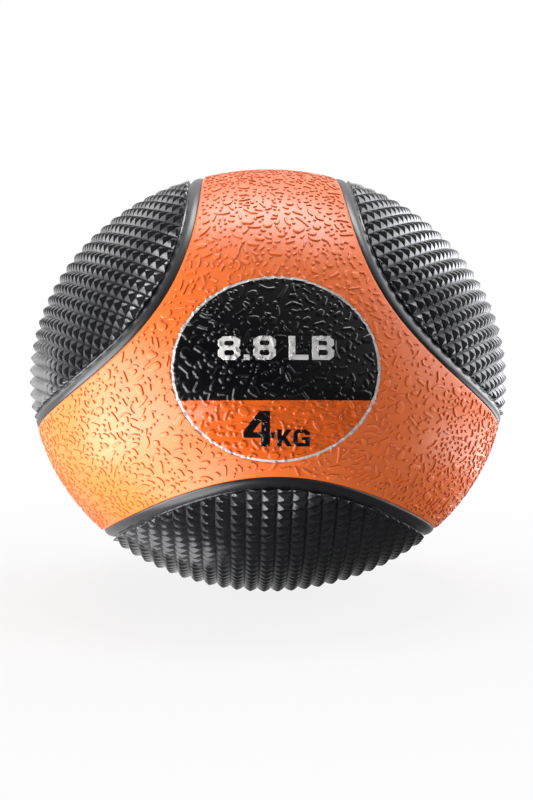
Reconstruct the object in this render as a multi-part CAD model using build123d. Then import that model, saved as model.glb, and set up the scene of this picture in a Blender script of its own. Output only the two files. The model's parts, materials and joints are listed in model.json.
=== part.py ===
from build123d import *
import math
import os

# Rubber medicine ball: a bladder and valve, a thread winding, a heavy rubber shell in two halves,
# and a moulded cover. Three oval black grip pads stand round the ball's sides and underneath, each
# with an edge band. An orange panel in front and one behind reach between them and meet at a
# parting line. Every layer is drawn round about the ball's centre, then flattened to the height
# that the ball has under its own weight. The floor is z = 0, the print faces -Y, the valve +Y.

# Driving dimensions, in millimetres and degrees
ball_width = 230.0          # across the cover, level with the floor
ball_height = 204.5         # over the cover, from floor to top
cover_thickness = 5.0       # orange panels
weight_wall = 16.0          # heavy rubber shell
winding_thickness = 1.2     # nylon thread, wound and rubberised
bladder_wall = 1.8
layer_gap = 0.08            # bond line between one layer and the next
joint_gap = 0.10            # bond line between neighbours in the same layer

front_elevation = 7.8       # the front panel's middle, above level
pad_across = 44.0           # from a pad's middle to the orange, round the front panel's axis
pad_along = 61.4            # from a pad's middle to the orange, towards the front panel's middle
band_width = 5.8            # smooth black band round each pad
tread_proud = 0.7           # tread over the orange
tread_depth = 2.2           # from the tread's top to the pad's bare margin
margin_width = 0.9          # bare margin between tread and band

print_drop = 2.7            # the print's middle, below the front panel's
print_clearance = 7.4       # from the print's edge to the edge of the bottom pad's band
print_ring_width = 1.4
field_ink = 0.12            # colour fields of the transfer
letter_ink = 0.10           # digits and letters, printed over the fields
ink_gap = 0.03              # bond line under each ink
field_line_drop = 14.7      # level line between the black and the orange field, below the middle
kg_digit_height = 16.3
kg_letter_height = 7.8
kg_baseline = -35.9
kg_left = -13.7
kg_gap = 1.0                # from the digit to its unit
kg_letter_gap = 0.3
lb_height = 11.0
lb_baseline = 3.8
lb_left = -24.0
lb_letter_gap = 1.4
lb_word_gap = 5.2           # from the number to its unit

valve_hole_radius = 5.0     # hole through every layer for the boot's stem
boot_clearance = 0.08
boot_flange_radius = 15.0   # flange bonded inside the bladder
boot_flange_thickness = 2.5
boot_recess = 0.6           # the stem's end, below the cover's surface
drill_start = 5.0           # where the valve's hole starts, over the cover's surface
core_radius = 3.0           # self-sealing plug in the boot
core_head_radius = 3.8
core_head_height = 2.0
core_length = 24.0
core_recess = 0.4           # the plug's head, below the boot's end
core_clearance = 0.06
needle_radius = 1.2         # hole for an inflating needle
needle_depth = 16.0

tongue_height = 5.0         # joint between the two halves of the weight shell
tongue_share = 0.36         # its width, as a part of the wall

# Radii of the round layers, from the outside in
cover_radius = ball_width / 2
tread_radius = cover_radius + tread_proud
weight_radius = cover_radius - cover_thickness - layer_gap
weight_inner = weight_radius - weight_wall
winding_radius = weight_inner - layer_gap
winding_inner = winding_radius - winding_thickness
bladder_radius = winding_inner - layer_gap
bladder_inner = bladder_radius - bladder_wall
flattening = ball_height / ball_width
centre_height = tread_radius * flattening

# Angles seen from the ball's centre
gap_angle = math.degrees(joint_gap / 2 / cover_radius)
band_angle = math.degrees(band_width / cover_radius)
print_angle = 90 - pad_along - print_drop - math.degrees(print_clearance / cover_radius)
print_depth = letter_ink + field_ink + 2 * ink_gap
ring_inner_angle = print_angle - math.degrees(print_ring_width / cover_radius)


def forward(elevation):
    """The direction to the front at a height over level."""
    return Vector(0, -math.cos(math.radians(elevation)), math.sin(math.radians(elevation)))


def facing(axis):
    """A plane at the ball's centre that faces along an axis, with its x level to the right."""
    return Plane(origin=(0, 0, 0), x_dir=(1, 0, 0), z_dir=tuple(axis))


front_axis = forward(front_elevation)
print_axis = forward(front_elevation - print_drop)
panel_axes = {"front": front_axis, "rear": front_axis * -1}


def round_the_sides(clock):
    """The direction square to the front axis, clock degrees from the right."""
    right = Vector(1, 0, 0)
    up = front_axis.cross(right)
    return right * math.cos(math.radians(clock)) + up * math.sin(math.radians(clock))


pad_axes = {
    "right": round_the_sides(30),
    "left": round_the_sides(150),
    "bottom": round_the_sides(270),
}


def pad_plane(axis):
    """A plane at the ball's centre that faces along a pad's axis, with its y to the front."""
    return Plane(origin=(0, 0, 0), x_dir=tuple(front_axis.cross(axis)), z_dir=tuple(axis))


def flattened(shape):
    """Flattens a round shape to the ball's height."""
    return scale(shape, by=(1, 1, flattening))


def at(radius, angle):
    """A point of a turned profile, from its distance to the centre and its angle to the axis."""
    return (radius * math.sin(math.radians(angle)), 0, radius * math.cos(math.radians(angle)))


def turned(edges):
    """A solid of revolution about Z."""
    return revolve(make_face(edges), axis=Axis.Z)


def arc(radius, start, end):
    """An arc about the centre, between two angles to the axis."""
    return ThreePointArc(at(radius, start), at(radius, (start + end) / 2), at(radius, end))


def shell(outer, inner):
    """A closed round layer."""
    return Sphere(outer) - Sphere(inner)


def cap(outer, inner, angle):
    """A round layer within an angle of the axis."""
    return turned([
        arc(outer, 0, angle),
        Line(at(outer, angle), at(inner, angle)),
        arc(inner, angle, 0),
        Line(at(inner, 0), at(outer, 0)),
    ])


def zone(outer, inner, start, end):
    """A round layer between two angles to the axis."""
    return turned([
        arc(outer, start, end),
        Line(at(outer, end), at(inner, end)),
        arc(inner, end, start),
        Line(at(inner, start), at(outer, start)),
    ])


def oval_cone(inset):
    """A cone from the centre about Z with a pad's oval section, an angle inside the orange's edge."""
    reach = tread_radius * 1.1
    across = math.tan(math.radians(pad_across - inset))
    along = math.tan(math.radians(pad_along - inset))
    round_cone = turned([
        Line((0, 0, 0), (reach, 0, reach)),
        Line((reach, 0, reach), (0, 0, reach)),
        Line((0, 0, reach), (0, 0, 0)),
    ])
    return scale(round_cone, by=(across, along, 1))


def grip_pad():
    """A pad about Z: raised tread, a bare margin round it, and a plain back."""
    back = weight_radius + layer_gap
    margin_level = tread_radius - tread_depth
    edge = band_angle + gap_angle
    tread_edge = edge + math.degrees(margin_width / cover_radius)
    base = shell(margin_level, back) & oval_cone(edge)
    tread = shell(tread_radius, (back + margin_level) / 2) & oval_cone(tread_edge)
    return base + tread


def edge_band():
    """The smooth band about Z: an oval strip that stands level with the cover."""
    strip = shell(cover_radius, weight_radius + layer_gap) & oval_cone(gap_angle)
    return strip - oval_cone(band_angle - gap_angle)


def cover_with_pocket():
    """The whole cover about Z, sunk in the middle for the print."""
    inner = cover_radius - cover_thickness
    floor = cover_radius - print_depth
    return turned([
        arc(floor, 0, print_angle),
        Line(at(floor, print_angle), at(cover_radius, print_angle)),
        arc(cover_radius, print_angle, 180),
        Line(at(cover_radius, 180), at(inner, 180)),
        arc(inner, 180, 0),
        Line(at(inner, 0), at(floor, 0)),
    ])


def cover_panel(name):
    """An orange panel: half the cover, with an opening for each pad."""
    if name == "front":
        cover = facing(print_axis) * cover_with_pocket()
    else:
        cover = shell(cover_radius, cover_radius - cover_thickness)
    size = cover_radius * 3
    panel = cover & facing(panel_axes[name]) * Pos(0, 0, (size + joint_gap) / 2) * Box(size, size, size)
    for axis in pad_axes.values():
        panel -= pad_plane(axis) * oval_cone(0)
    return panel


def weight_half(top):
    """Half of the heavy shell. The lower half has a tongue round its rim, the upper one its groove."""
    middle = (weight_radius + weight_inner) / 2
    half_tongue = weight_wall * tongue_share / 2
    sign = 1 if top else -1
    spare = joint_gap if top else 0
    rim = joint_gap if top else 0
    step = tongue_height + spare
    outer_start = math.sqrt(weight_radius ** 2 - rim ** 2)
    inner_start = math.sqrt(weight_inner ** 2 - rim ** 2)
    half = math.sqrt(0.5)
    return turned([
        ThreePointArc((0, 0, sign * weight_radius), (half * weight_radius, 0, sign * half * weight_radius),
                      (outer_start, 0, rim)),
        Polyline((outer_start, 0, rim), (middle + half_tongue + spare, 0, rim),
                 (middle + half_tongue + spare, 0, step), (middle - half_tongue - spare, 0, step),
                 (middle - half_tongue - spare, 0, rim), (inner_start, 0, rim)),
        ThreePointArc((inner_start, 0, rim), (half * weight_inner, 0, sign * half * weight_inner),
                      (0, 0, sign * weight_inner)),
        Line((0, 0, sign * weight_inner), (0, 0, sign * weight_radius)),
    ])


# Characters one unit high, as an outline and its holes
characters = {
    "4": ([(0.45, 0), (0.45, 0.245), (0, 0.245), (0, 0.42), (0.40, 1), (0.67, 1), (0.67, 0.405),
           (0.79, 0.405), (0.79, 0.245), (0.67, 0.245), (0.67, 0)],
          [[(0.45, 0.405), (0.45, 0.72), (0.235, 0.405)]]),
    "8": ([(0.20, 0), (0, 0.18), (0, 0.42), (0.08, 0.51), (0, 0.60), (0, 0.84), (0.20, 1), (0.64, 1),
           (0.84, 0.84), (0.84, 0.60), (0.76, 0.51), (0.84, 0.42), (0.84, 0.18), (0.64, 0)],
          [[(0.30, 0.19), (0.24, 0.25), (0.24, 0.36), (0.30, 0.42), (0.54, 0.42), (0.60, 0.36),
            (0.60, 0.25), (0.54, 0.19)],
           [(0.30, 0.60), (0.24, 0.66), (0.24, 0.75), (0.30, 0.81), (0.54, 0.81), (0.60, 0.75),
            (0.60, 0.66), (0.54, 0.60)]]),
    ".": ([(0, 0), (0, 0.22), (0.22, 0.22), (0.22, 0)], []),
    "K": ([(0, 0), (0, 1), (0.24, 1), (0.24, 0.62), (0.50, 1), (0.79, 1), (0.46, 0.56), (0.81, 0),
           (0.52, 0), (0.31, 0.38), (0.24, 0.28), (0.24, 0)], []),
    "G": ([(0.22, 0), (0, 0.20), (0, 0.80), (0.22, 1), (0.68, 1), (0.88, 0.82), (0.88, 0.67),
           (0.63, 0.67), (0.57, 0.80), (0.30, 0.80), (0.24, 0.73), (0.24, 0.27), (0.30, 0.20),
           (0.63, 0.20), (0.63, 0.37), (0.46, 0.37), (0.46, 0.55), (0.88, 0.55), (0.88, 0)], []),
    "L": ([(0, 0), (0, 1), (0.25, 1), (0.25, 0.21), (0.74, 0.21), (0.74, 0)], []),
    "B": ([(0, 0), (0, 1), (0.64, 1), (0.82, 0.85), (0.82, 0.62), (0.73, 0.52), (0.84, 0.40),
           (0.84, 0.16), (0.66, 0)],
          [[(0.25, 0.19), (0.25, 0.42), (0.54, 0.42), (0.60, 0.36), (0.60, 0.25), (0.54, 0.19)],
           [(0.25, 0.60), (0.25, 0.81), (0.52, 0.81), (0.58, 0.75), (0.58, 0.66), (0.52, 0.60)]]),
}


def lettering(text, height, left, baseline, gap):
    """Flat characters side by side, and the x where the last one ends."""
    faces = []
    for letter in text:
        outline, holes = characters[letter]
        shape = make_face(Polyline(*[(x * height, y * height) for x, y in outline], close=True))
        for hole in holes:
            shape -= make_face(Polyline(*[(x * height, y * height) for x, y in hole], close=True))
        faces.append(Pos(left, baseline) * shape)
        end = left + max(x for x, y in outline) * height
        left = end + gap
    return faces, end


def printed(faces):
    """Prisms from flat characters, long enough to pass through the print."""
    return [extrude(facing(print_axis) * face, amount=cover_radius * 1.2, dir=tuple(print_axis))
            for face in faces]


def solids_of(shapes):
    """Every solid of a list of shapes."""
    return [solid for shape in shapes for solid in shape.solids()]


def print_parts():
    """The transfer's ring and two colour fields, with the digits and letters printed over them."""
    field_top = cover_radius - letter_ink - ink_gap
    field_back = field_top - field_ink
    plane = facing(print_axis)
    ring = plane * zone(cover_radius, field_back, ring_inner_angle + gap_angle, print_angle - gap_angle)
    field = plane * cap(field_top, field_back, ring_inner_angle)
    ink = plane * cap(cover_radius, cover_radius - letter_ink, ring_inner_angle)
    size = cover_radius * 2
    line_up = -field_line_drop + joint_gap / 2
    line_down = -field_line_drop - joint_gap / 2
    above = plane * Pos(0, line_up + size / 2, 0) * Box(size, size, size * 2)
    below = plane * Pos(0, line_down - size / 2, 0) * Box(size, size, size * 2)
    digit, end = lettering("4", kg_digit_height, kg_left, kg_baseline, 0)
    letters = lettering("KG", kg_letter_height, end + kg_gap, kg_baseline, kg_letter_gap)[0]
    number, end = lettering("8.8", lb_height, lb_left, lb_baseline, lb_letter_gap)
    unit = lettering("LB", lb_height, end + lb_word_gap, lb_baseline, lb_letter_gap)[0]
    return {
        "print_ring": ring,
        "print_black_field": field & above,
        "print_orange_field": field & below,
        "print_kilograms": Compound(children=solids_of([ink & solid for solid in printed(digit + letters)])),
        "print_pounds": Compound(children=solids_of([ink & solid for solid in printed(number + unit)])),
    }


# The valve stands square to the flattened cover, in the middle of the rear panel.
valve_direction = panel_axes["rear"]
valve_point = Vector(valve_direction.X, valve_direction.Y, valve_direction.Z * flattening) * cover_radius
valve_axis = Vector(valve_direction.X, valve_direction.Y, valve_direction.Z / flattening).normalized()
valve_plane = Plane(origin=tuple(valve_point), x_dir=(1, 0, 0), z_dir=tuple(valve_axis))


def valve_rod(radius, top, length):
    """A rod on the valve's axis, from a height over the cover's surface inwards."""
    return valve_plane * Pos(0, 0, top - length / 2) * Cylinder(radius, length)


def valve_boot():
    """The bladder's rubber boot: a flange inside the bladder and a stem out to the cover."""
    reach = cover_radius / 2
    flange_top = bladder_inner - layer_gap
    flange_back = flange_top - boot_flange_thickness
    stem = valve_rod(valve_hole_radius - boot_clearance, -boot_recess, reach)
    stem -= flattened(Sphere(flange_back))
    flange = flattened(shell(flange_top, flange_back)) & valve_rod(boot_flange_radius, 0, reach)
    core_top = boot_recess + core_recess
    bore = valve_rod(core_radius + core_clearance, 0, core_top + core_length + core_clearance)
    seat = valve_rod(core_head_radius + core_clearance, 0, core_top + core_head_height + core_clearance)
    return stem + flange - bore - seat


def valve_core():
    """The self-sealing plug: a head, a shank and a blind hole for the needle."""
    top = -boot_recess - core_recess
    core = valve_rod(core_radius, top, core_length) + valve_rod(core_head_radius, top, core_head_height)
    return core - valve_rod(needle_radius, top, needle_depth)


round_parts = {
    "bladder": shell(bladder_radius, bladder_inner),
    "winding": shell(winding_radius, winding_inner),
    "weight_shell_lower": weight_half(False),
    "weight_shell_upper": weight_half(True),
}
for name in panel_axes:
    round_parts["cover_panel_" + name] = cover_panel(name)
for name, axis in pad_axes.items():
    round_parts["grip_pad_" + name] = pad_plane(axis) * grip_pad()
    round_parts["edge_band_" + name] = pad_plane(axis) * edge_band()
round_parts.update(print_parts())

parts = {name: flattened(shape) for name, shape in round_parts.items()}
drill = valve_rod(valve_hole_radius, drill_start, cover_radius / 2)
for name in ("bladder", "winding", "weight_shell_lower", "weight_shell_upper", "cover_panel_rear"):
    parts[name] -= drill
parts["valve_boot"] = valve_boot()
parts["valve_core"] = valve_core()

os.makedirs("parts", exist_ok=True)
for name, shape in parts.items():
    lifted = Pos(0, 0, centre_height) * shape
    solids = lifted.solids()
    export_step(solids[0] if len(solids) == 1 else Compound(children=solids), "parts/" + name + ".step")
mouth = valve_point - valve_axis * (boot_recess + core_recess) + Vector(0, 0, centre_height)
print("print angle", round(print_angle, 2), "centre height", round(centre_height, 3))
print("valve mouth", [round(value, 3) for value in mouth], "axis", [round(value, 6) for value in valve_axis])
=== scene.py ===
import bpy
import bmesh
import json
import math
import numpy as np
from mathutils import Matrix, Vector, kdtree
from mathutils.geometry import delaunay_2d_cdt


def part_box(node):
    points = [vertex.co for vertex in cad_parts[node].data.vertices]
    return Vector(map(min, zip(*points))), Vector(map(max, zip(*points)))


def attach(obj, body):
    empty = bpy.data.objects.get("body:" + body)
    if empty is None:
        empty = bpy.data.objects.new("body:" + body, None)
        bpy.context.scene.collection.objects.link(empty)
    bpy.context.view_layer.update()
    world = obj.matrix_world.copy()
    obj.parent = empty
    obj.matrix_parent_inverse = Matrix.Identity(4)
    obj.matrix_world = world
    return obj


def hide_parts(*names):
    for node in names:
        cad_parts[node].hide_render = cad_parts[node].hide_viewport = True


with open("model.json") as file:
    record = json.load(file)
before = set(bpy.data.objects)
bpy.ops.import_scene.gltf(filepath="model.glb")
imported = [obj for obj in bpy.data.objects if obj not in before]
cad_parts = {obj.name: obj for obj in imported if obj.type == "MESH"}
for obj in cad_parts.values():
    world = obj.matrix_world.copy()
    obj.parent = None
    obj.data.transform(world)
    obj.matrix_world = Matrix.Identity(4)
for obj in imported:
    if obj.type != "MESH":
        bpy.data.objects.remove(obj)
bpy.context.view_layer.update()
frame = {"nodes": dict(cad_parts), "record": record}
mm = 0.001
print("frame loaded,", len(frame["nodes"]), "CAD nodes")


# The ball as the CAD holds it. Every layer is worked out round, then flattened.
bladderLow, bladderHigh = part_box("bladder")
ballCentre = np.array((bladderLow + bladderHigh) / 2)
flattening = (bladderHigh.z - bladderLow.z) / (bladderHigh.x - bladderLow.x)


def unit(vectors):
    return vectors / np.linalg.norm(vectors, axis=-1, keepdims=True)


def roundPoints(node):      # a CAD node's points, made round again, about the ball's centre
    mesh = frame["nodes"][node].data
    points = np.empty(len(mesh.vertices) * 3)
    mesh.vertices.foreach_get("co", points)
    return (points.reshape(-1, 3) - ballCentre) / [1, 1, flattening]


def settle(points):         # round points into the row frame
    return points * [1, 1, flattening] + ballCentre


def anglesTo(axis, directions):
    return np.arccos(np.clip(directions @ axis, -1, 1))


needleMount = frame["record"]["mounts"][0]
valveNormal = unit(np.array(needleMount["axis"]))
mouthDepth = 1.0 * mm       # the needle's hole starts this far under the cover
valvePoint = np.array(needleMount["pos_m"]) + valveNormal * mouthDepth
valveRound = unit((valvePoint - ballCentre) / [1, 1, flattening])
frontAxis = -valveRound
panelAxes = {"front": frontAxis, "rear": valveRound}
sideAxis = np.array([1.0, 0.0, 0.0])
upAxis = np.cross(frontAxis, sideAxis)


def roundTheSides(clock):   # square to the front axis, degrees from the right
    return sideAxis * math.cos(math.radians(clock)) + upAxis * math.sin(math.radians(clock))


# Each pad's own axes: across, towards the front, and outwards
padClocks = {"left": 150, "right": 30, "bottom": 270}
padAxes = {pad: np.array([np.cross(frontAxis, roundTheSides(clock)), frontAxis, roundTheSides(clock)])
           for pad, clock in padClocks.items()}


def ovalReach(node, pad):   # half angles of a node's oval, across and towards the front
    places = unit(roundPoints(node)) @ padAxes[pad].T
    return np.arctan([np.abs(places[:, i] / places[:, 2]).max() for i in (0, 1)])


openingReach = ovalReach("edge_band_bottom", "bottom")
padReach = ovalReach("grip_pad_bottom", "bottom")
ringPoints = unit(roundPoints("print_ring"))
printAxis = unit(np.linalg.svd(ringPoints - ringPoints.mean(0))[2][2] * [0, 1, 1])
printAxis *= -np.sign(printAxis[1])
printReach = [anglesTo(printAxis, ringPoints).min(), anglesTo(printAxis, ringPoints).max()]
panelRadii = np.linalg.norm(roundPoints("cover_panel_rear"), axis=1)
insideBy = 0.03 * mm        # everything stays this far within the CAD's surfaces
coverRadius, backRadius = panelRadii.max() - insideBy, panelRadii.min()
treadRadius = np.linalg.norm(roundPoints("grip_pad_left"), axis=1).max() - insideBy


def aroundAxis(axis, flat):     # flat points in metres, wrapped round the ball from an axis
    side, up = sideAndUp(axis)
    angle = np.linalg.norm(flat, axis=-1, keepdims=True) / coverRadius
    share = np.sinc(angle / np.pi) / coverRadius
    return axis * np.cos(angle) + (side * flat[..., :1] + up * flat[..., 1:]) * share


def sideAndUp(axis):        # level to the right as seen from outside, and up
    side = unit(np.cross([0, -0.1, 1], axis))
    return side, np.cross(axis, side)


def flatFrom(axis, directions):     # the other way round
    side, up = sideAndUp(axis)
    angle = anglesTo(axis, directions)
    share = coverRadius / np.maximum(np.sinc(angle / np.pi), 1e-6)
    return np.stack([directions @ side, directions @ up], -1) * share[..., None]


def spread(limits, share):      # part of the way between two limits
    return limits[0] + (limits[1] - limits[0]) * share


def smooth(values):         # 0 to 1 with soft ends
    values = np.clip(values, 0, 1)
    return values * values * (3 - 2 * values)


def ovalShare(pad, reach, directions):      # under 1 inside a pad's oval, over 1 outside
    places = directions @ padAxes[pad].T
    share = np.linalg.norm(places[..., :2] / np.tan(reach), axis=-1) / np.maximum(places[..., 2], 1e-6)
    return np.where(places[..., 2] > 0, share, 1e6)


def ovalEdge(pad, reach, around):   # directions along a pad's oval, from unit circle points
    across, along, out = padAxes[pad]
    sideways = around[:, :1] * math.tan(reach[0]) * across + around[:, 1:] * math.tan(reach[1]) * along
    return unit(sideways + out)


def clearOfPads(directions):        # metres from the nearest pad's opening, under 0 inside one
    clear = np.full(directions.shape[:-1], 1.0)
    lowest = 0.05       # what lies lower from a pad's axis counts as far away
    for axes in padAxes.values():
        places = directions @ axes.T
        flat = places[..., :2] / np.maximum(places[..., 2:], lowest)
        scaled = flat / np.tan(openingReach)
        share = np.maximum(np.linalg.norm(scaled, axis=-1), 1e-6)
        slope = np.linalg.norm(scaled / np.tan(openingReach), axis=-1) / share
        steepness = np.sqrt(1 + (flat ** 2).sum(-1)) * np.hypot(slope, share)
        distance = (share - 1) / steepness * coverRadius
        clear = np.minimum(clear, np.where(places[..., 2] > lowest, distance, 1.0))
    return clear


# Mesh helpers
def gridFaces(rows, columns):
    start = np.arange(rows - 1)[:, None] * columns + np.arange(columns - 1)
    return np.stack([start, start + 1, start + columns + 1, start + columns], -1).reshape(-1, 4)


def tubeFaces(number):      # rows of points joined one after another, each row closed on itself
    after = np.roll(number, -1, axis=1)
    return np.stack([number[:-1], after[:-1], after[1:], number[1:]], -1).reshape(-1, 4)


def packed(points, faces, keep):    # only the faces whose corners are all kept
    faces = faces[keep[faces].all(1)]
    used = np.unique(faces)
    renumber = np.full(len(points), -1)
    renumber[used] = np.arange(len(used))
    return points[used], renumber[faces]


def bmeshFrom(points, faces):
    mesh = bpy.data.meshes.new("working")
    mesh.from_pydata(np.asarray(points).tolist(), [], np.asarray(faces).tolist())
    bm = bmesh.new()
    bm.from_mesh(mesh)
    bpy.data.meshes.remove(mesh)
    return bm


def addFaces(bm, points, faces):
    made = [bm.verts.new(p) for p in points.tolist()]
    for face in faces:
        bm.faces.new([made[i] for i in face])


def cornersOf(edges):       # each vertex once, always in the same order
    return list(dict.fromkeys(v for e in edges for v in e.verts))


def coordinates(bm):
    return np.array([v.co for v in bm.verts])


def moveTo(bm, points):
    for vertex, point in zip(bm.verts, points.tolist()):
        vertex.co = point


def planeCut(bm, point, normal, clear=True):    # what lies on the normal's side goes
    geometry = bm.verts[:] + bm.edges[:] + bm.faces[:]
    bmesh.ops.bisect_plane(bm, geom=geometry, dist=1e-7, plane_co=Vector(point),
                           plane_no=Vector(normal), clear_outer=clear)


def circleCut(bm, axis, angle, keepOutside=True, clear=True):
    sign = 1 if keepOutside else -1
    planeCut(bm, axis * math.cos(angle), axis * sign, clear)


def ovalCut(bm, pad, reach, keepOutside=True, clear=True):  # stretched so that the oval is a circle
    stretch = np.append(1 / np.tan(reach), 1)
    moveTo(bm, unit(coordinates(bm) @ padAxes[pad].T * stretch))
    circleCut(bm, np.array([0, 0, 1.0]), math.pi / 4, keepOutside, clear)
    moveTo(bm, unit(coordinates(bm) / stretch @ padAxes[pad]))


def edgeLoops(bm):          # the open edges, as connected groups
    left = dict.fromkeys(e for e in bm.edges if e.is_boundary)
    loops = []
    while left:
        loop, queue = [], [left.popitem()[0]]
        while queue:
            edge = queue.pop()
            loop.append(edge)
            for vertex in edge.verts:
                for other in vertex.link_edges:
                    if other in left:
                        del left[other]
                        queue.append(other)
        loops.append(loop)
    return loops


def wallDown(bm, loop, radius):     # a side wall from an open edge straight in to a radius
    made = bmesh.ops.extrude_edge_only(bm, edges=loop)["geom"]
    edges = [g for g in made if isinstance(g, bmesh.types.BMEdge)]
    for vertex in cornersOf(edges):
        vertex.co = vertex.co.normalized() * radius
    return edges


def fillAcross(bm, edges, axis, radius, spacing, inside):   # a curved floor between closed edges
    corners = cornersOf(edges)
    number = {v: i for i, v in enumerate(corners)}
    flat = flatFrom(axis, unit(np.array([v.co for v in corners])))
    steps = np.arange(flat.min() - spacing, flat.max() + spacing, spacing)
    extra = np.stack(np.meshgrid(steps, steps), -1).reshape(-1, 2)
    extra[:, 0] += (np.round(extra[:, 1] / spacing) % 2) * spacing / 2
    extra = extra[inside(aroundAxis(axis, extra))]
    tree = kdtree.KDTree(len(flat))
    for i, (x, y) in enumerate(flat):
        tree.insert((x, y, 0), i)
    tree.balance()
    clear = spacing * 0.45      # from the edges
    extra = [p for p in extra if tree.find((p[0], p[1], 0))[2] > clear]
    points = [Vector(p) for p in flat] + [Vector(p) for p in extra]
    joins = [(number[e.verts[0]], number[e.verts[1]]) for e in edges]
    flatPoints, _, triangles, sources, _, _ = delaunay_2d_cdt(points, joins, [], 0, 1e-9)
    directions = aroundAxis(axis, np.array([tuple(p) for p in flatPoints]))
    known = [next((corners[s] for s in source if s < len(corners)), None) for source in sources]
    vertices = [v or bm.verts.new(d * radius) for v, d in zip(known, directions)]
    triangles = np.array(triangles)
    middles = unit(directions[triangles].mean(1))
    for triangle in triangles[inside(middles)]:
        three = [vertices[i] for i in triangle]
        if len(set(three)) == 3 and bm.faces.get(three) is None:
            bm.faces.new(three)


def finishPiece(bm, name):      # recalculates normals and puts the piece in the row frame
    bmesh.ops.recalc_face_normals(bm, faces=bm.faces[:])
    for face in bm.faces:
        face.smooth = True
    mesh = bpy.data.meshes.new(name)
    moveTo(bm, settle(coordinates(bm)))
    bm.to_mesh(mesh)
    bm.free()
    piece = bpy.data.objects.new(name, mesh)
    bpy.context.scene.collection.objects.link(piece)
    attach(piece, "root")
    return piece


def addAttribute(piece, name, values):
    attribute = piece.data.attributes.new(name, "FLOAT", "POINT")
    filled = np.zeros(len(piece.data.vertices), np.float32)
    filled[:len(values)] = values
    attribute.data.foreach_set("value", filled)


# Raindrop relief of the orange cover: dots, pebbles, bars and hooks on plain ground
relief = {
    "seed": 11,
    "height": 0.56 * mm,
    "sunk": -0.3,               # how far a drop's sides go under the ground, as a part of its height
    "gap": 0.50 * mm,           # bare ground left between two drops
    "step": 0.30 * mm,
    "mapCell": 0.25 * mm,
    "edgeClear": 0.60 * mm,     # from a band
    "seamClear": 0.9 * mm,      # from the parting line
    "reach": 54.0,              # how far each map reaches from its middle, in degrees
    "mapRim": 2.0 * mm,         # left free round a map
    "overlap": 0.03,            # how far a drop may start past the line to the next map
    "tries": 40,                # for each drop wanted
    "kinked": 0.4,              # share of drops that turn at one sharp bend
    "straighter": 0.15,         # what such a drop turns along its way, as a share of its turn
    "sharpest": 1.7,            # the sharpest bend, in radians
    # how many in 100 square millimetres, length in mm, turn in degrees, half width in mm, unevenness
    "kinds": [
        ("pebble", 0.28, (0.8, 4.2), (0, 80), (1.10, 1.95), 0.35),
        ("stone", 0.60, (0.6, 2.8), (0, 60), (0.75, 1.10), 0.30),
        ("hook", 0.42, (3.2, 7.0), (60, 190), (0.45, 0.66), 0.20),
        ("worm", 0.40, (3.6, 8.0), (20, 90), (0.45, 0.68), 0.20),
        ("bar", 0.85, (2.2, 5.2), (0, 35), (0.45, 0.78), 0.25),
        ("comma", 0.95, (1.0, 2.6), (20, 110), (0.45, 0.70), 0.35),
        ("dot", 2.20, (0.1, 0.6), (0, 20), (0.42, 0.80), 0.0),
    ],
    # a drop's height over the ground, by the distance in from its side
    "dome": ([0.0, 0.07 * mm, 0.19 * mm, 0.36 * mm], [0.15, 0.66, 0.94, 1.0]),
    # rows round a drop's ends, and the least distances of its rows from the middle, by its half width
    "ends": [0.38, 0.71, 0.92, 1.0],
    "rows": [1, 0.75, 0.45, 0.18],
    "intoPrint": 0.7,           # how far a drop may reach into the print, by its half width
}
valveLand = {"clear": 9.2 * mm, "ringRadius": 7.2 * mm, "ringWidth": 1.4 * mm, "holeRadius": 5.05 * mm}


mapReach = math.radians(relief["reach"]) * coverRadius
mapHalf = int(mapReach / relief["mapCell"]) + 2     # cells from the middle of a map to its side
mapAxes = [frontAxis, valveRound] + [roundTheSides(clock) for clock in (90, 210, 330)]
discs = {}


def mapGround(axis):        # one map: what lies outside it, and the gaps to the pads and to the valve
    span = np.arange(-mapHalf, mapHalf + 1) * relief["mapCell"]
    across, up = np.meshgrid(span, span)
    directions = aroundAxis(axis, np.stack([across, up], -1))
    outside = np.hypot(across, up) > mapReach - relief["mapRim"]
    outside |= np.abs(directions @ frontAxis) < relief["seamClear"] / coverRadius
    for other in mapAxes:
        if other is not axis:
            outside |= directions @ other > directions @ axis + relief["overlap"]
    return outside, clearOfPads(directions), anglesTo(valveRound, directions) * coverRadius


def cellAt(x, y):           # row and column of a flat point
    return int(round(y / relief["mapCell"])) + mapHalf, int(round(x / relief["mapCell"])) + mapHalf


def stamp(blocked, x, y, clear):    # closes a disc round a point to other drops
    radius = round(clear / relief["mapCell"] * 2) / 2
    if radius not in discs:
        size = int(math.ceil(radius))
        span = np.arange(-size, size + 1)
        discs[radius] = np.hypot(span[:, None], span) <= radius, size
    disc, size = discs[radius]
    row, column = cellAt(x, y)
    if size <= column < 2 * mapHalf - size and size <= row < 2 * mapHalf - size:
        blocked[row - size:row + size + 1, column - size:column + size + 1] |= disc


def drawLine(draw, blocked, x, y, heading, turn, length):   # a drop's middle line, or None without room
    steps = int(length / relief["step"]) + 2
    bends = np.full(steps, turn / steps)
    if steps > 6 and draw.random() < relief["kinked"]:
        bends = np.full(steps, relief["straighter"] * turn / steps)
        sharp = np.clip(turn, -relief["sharpest"], relief["sharpest"])
        bends[draw.integers(2, steps - 2)] += sharp * (1 - relief["straighter"])
    line = []
    for bend in bends:
        row, column = cellAt(x, y)
        if not (0 < row < 2 * mapHalf and 0 < column < 2 * mapHalf) or blocked[row, column]:
            break
        line.append((x, y))
        heading += bend
        x += math.cos(heading) * length / (steps - 1)
        y += math.sin(heading) * length / (steps - 1)
    return line if len(line) >= max(2, steps * 0.6) else None


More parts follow.
